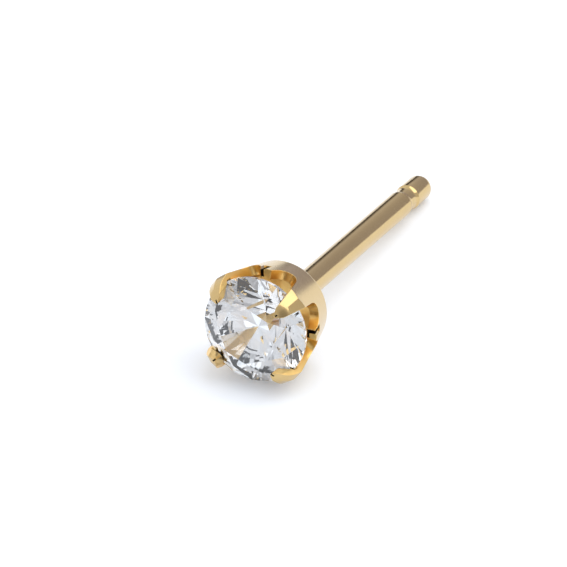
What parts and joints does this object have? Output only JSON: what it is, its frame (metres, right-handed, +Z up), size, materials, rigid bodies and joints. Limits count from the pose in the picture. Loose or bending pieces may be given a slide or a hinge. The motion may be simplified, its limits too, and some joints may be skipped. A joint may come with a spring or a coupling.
{
  "type": "stud earring",
  "caption": "Gold stud earring: a round brilliant-cut clear stone held by claws in a scalloped cup, with a straight post behind it for the ear.",
  "frame": {"origin": "on the surface the stud lies on, under the middle of its bounding box", "axes": "+Z up, the stone faces -Y and a little up, the post runs towards +Y and down to the surface"},
  "size_m": [0.0034, 0.013, 0.0034],
  "materials": {
    "gold": "polished yellow gold",
    "stone": "clear, faceted and polished"
  },
  "bodies": {
    "root": {"setting_and_post": "gold", "stone": "stone"}
  },
  "joints": []
}
